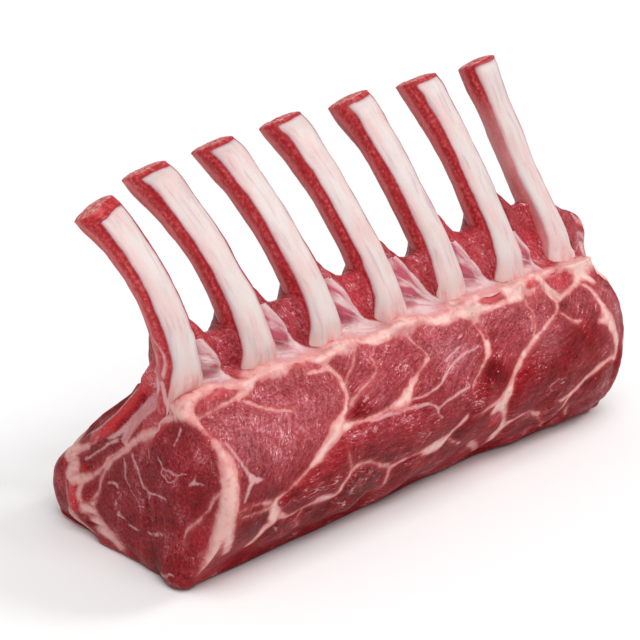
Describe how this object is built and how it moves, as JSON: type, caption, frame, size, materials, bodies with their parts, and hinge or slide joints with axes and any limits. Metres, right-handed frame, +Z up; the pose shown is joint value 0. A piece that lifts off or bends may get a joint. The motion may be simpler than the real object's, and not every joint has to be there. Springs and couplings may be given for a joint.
{
  "type": "raw rack of lamb",
  "caption": "Raw rack of lamb: a loaf of loin meat lying on its flat side, with bare curved rib bones standing in a row out of its ridge.",
  "frame": {"origin": "middle of the footprint box, on the surface that the meat lies on", "axes": "+X along the loaf, from the near cut end to the far end; +Y from the rounded front of the meat to the side that the ribs lean over; +Z up"},
  "size_m": [0.2052, 0.0882, 0.1262],
  "materials": {
    "meat": "wet raw meat with cream fat seams",
    "bone": "moist scraped bone with red flanks"
  },
  "bodies": {
    "root": {"meat": "meat", "rib_1": "bone", "rib_2": "bone", "rib_3": "bone", "rib_4": "bone", "rib_5": "bone", "rib_6": "bone", "rib_7": "bone"}
  },
  "joints": []
}
